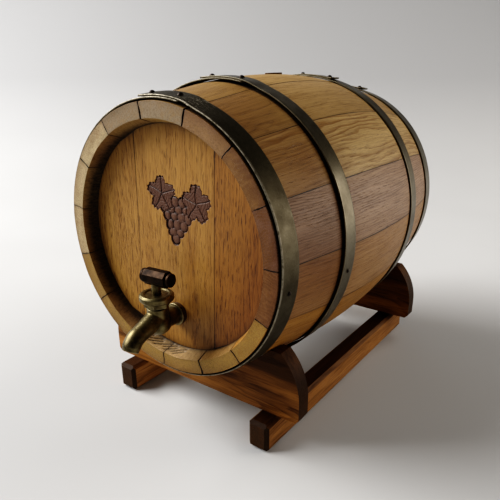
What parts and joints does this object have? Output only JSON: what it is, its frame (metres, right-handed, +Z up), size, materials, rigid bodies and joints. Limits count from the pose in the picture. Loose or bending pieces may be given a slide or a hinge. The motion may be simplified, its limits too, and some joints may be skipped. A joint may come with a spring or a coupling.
{
  "type": "wine barrel",
  "caption": "Small oak wine barrel lying on a rail cradle, with metal hoops, a bung in the top, a carved front head and a screw-down brass tap.",
  "frame": {"origin": "on the table, under the middle of the whole object's bounding box", "axes": "+Z up, +Y from the tap and the carved front head towards the rear head, +X to the right seen from the front"},
  "size_m": [0.222, 0.32, 0.262],
  "materials": {
    "stave_oak": "worn oiled oak",
    "head_oak": "worn oiled oak",
    "dowel_wood": "plain",
    "hoop_metal": "aged, dull",
    "rivet_metal": "dark, dull",
    "bung_wood": "dull",
    "tap_brass": "aged, satin",
    "handle_bronze": "dark, satin",
    "seal_leather": "dull",
    "seal_rubber": "matt",
    "cradle_wood": "stained, satin",
    "screw_steel": "plain"
  },
  "bodies": {
    "cradle": {"left_rail": "cradle_wood", "right_rail": "cradle_wood", "front_saddle": "cradle_wood", "rear_saddle": "cradle_wood", "cradle_screws": "screw_steel"},
    "cask": {"bung_stave": "stave_oak", "stave_01": "stave_oak", "stave_02": "stave_oak", "stave_03": "stave_oak", "stave_04": "stave_oak", "stave_05": "stave_oak", "stave_06": "stave_oak", "stave_07": "stave_oak", "stave_08": "stave_oak", "stave_09": "stave_oak", "stave_10": "stave_oak", "stave_11": "stave_oak", "stave_12": "stave_oak", "stave_13": "stave_oak", "stave_14": "stave_oak", "front_head_left_board": "head_oak", "front_head_middle_board": "head_oak", "front_head_right_board": "head_oak", "rear_head_left_board": "head_oak", "rear_head_middle_board": "head_oak", "rear_head_right_board": "head_oak", "front_head_dowels": "dowel_wood", "rear_head_dowels": "dowel_wood", "front_head_hoop": "hoop_metal", "front_quarter_hoop": "hoop_metal", "rear_quarter_hoop": "hoop_metal", "rear_head_hoop": "hoop_metal", "hoop_rivets": "rivet_metal", "hoop_nails": "rivet_metal", "tap_body": "tap_brass", "tap_seal_washer": "seal_leather", "tap_bonnet": "tap_brass", "tap_stem_seal": "seal_rubber"},
    "bung": {"bung": "bung_wood"},
    "jumper": {"tap_jumper": "tap_brass", "tap_jumper_washer": "seal_rubber"},
    "spindle": {"tap_spindle": "tap_brass", "tap_handle": "handle_bronze"}
  },
  "joints": [
    {"name": "cask_lift", "type": "slide", "parent": "cradle", "child": "cask", "axis": [0, 0, 1], "range_m": [0, 0.12]},
    {"name": "bung_pull", "type": "slide", "parent": "cask", "child": "bung", "axis": [-0.0349, 0, 0.9994], "range_m": [0, 0.05]},
    {"name": "jumper_lift", "type": "slide", "parent": "cask", "child": "jumper", "axis": [0, 0, 1], "range_m": [0, 0.00438]},
    {"name": "handle_turn", "type": "hinge", "parent": "jumper", "child": "spindle", "pos_m": [0, -0.12646, 0.0955], "axis": [0, 0, 1], "range_deg": [0, 900]}
  ],
  "couplings": [
    {"joint": "handle_turn", "follows": "jumper_lift", "rad_per_m": 3590.4}
  ]
}
